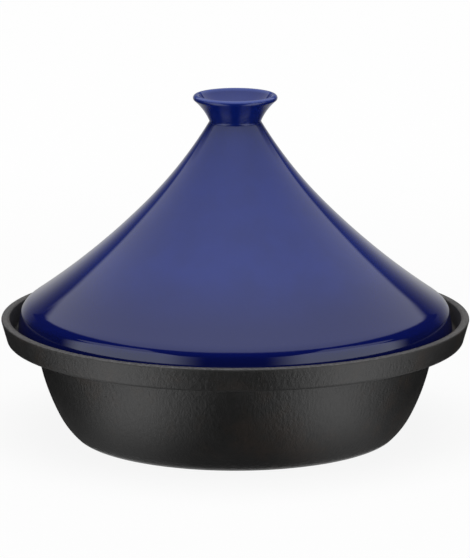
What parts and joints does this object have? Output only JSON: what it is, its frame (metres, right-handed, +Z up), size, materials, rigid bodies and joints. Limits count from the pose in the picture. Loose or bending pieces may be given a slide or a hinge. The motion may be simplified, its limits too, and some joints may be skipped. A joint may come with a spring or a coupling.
{
  "type": "tagine pot",
  "caption": "Round tagine pot: a shallow cast-iron cooking base with a seated rim and a tall flared glazed lid, lifted off by its cup-shaped knob.",
  "frame": {"origin": "centre of the base's flat underside, on the surface that the pot stands on", "axes": "+Z up along the axis that both pieces are turned about, -Y towards the viewer of the picture, +X to that viewer's right"},
  "size_m": [0.2994, 0.2994, 0.2196],
  "materials": {
    "cast_iron": "matte seasoned iron with a fine sand-cast grain",
    "blue_glaze": "glossy deep blue glaze over stoneware, bare at the foot ring"
  },
  "bodies": {
    "base": {"pot_base": "cast_iron"},
    "lid": {"lid": "blue_glaze"}
  },
  "joints": [
    {"name": "lid_lift", "type": "slide", "parent": "base", "child": "lid", "axis": [0, 0, 1], "range_m": [0, 0.2]}
  ]
}
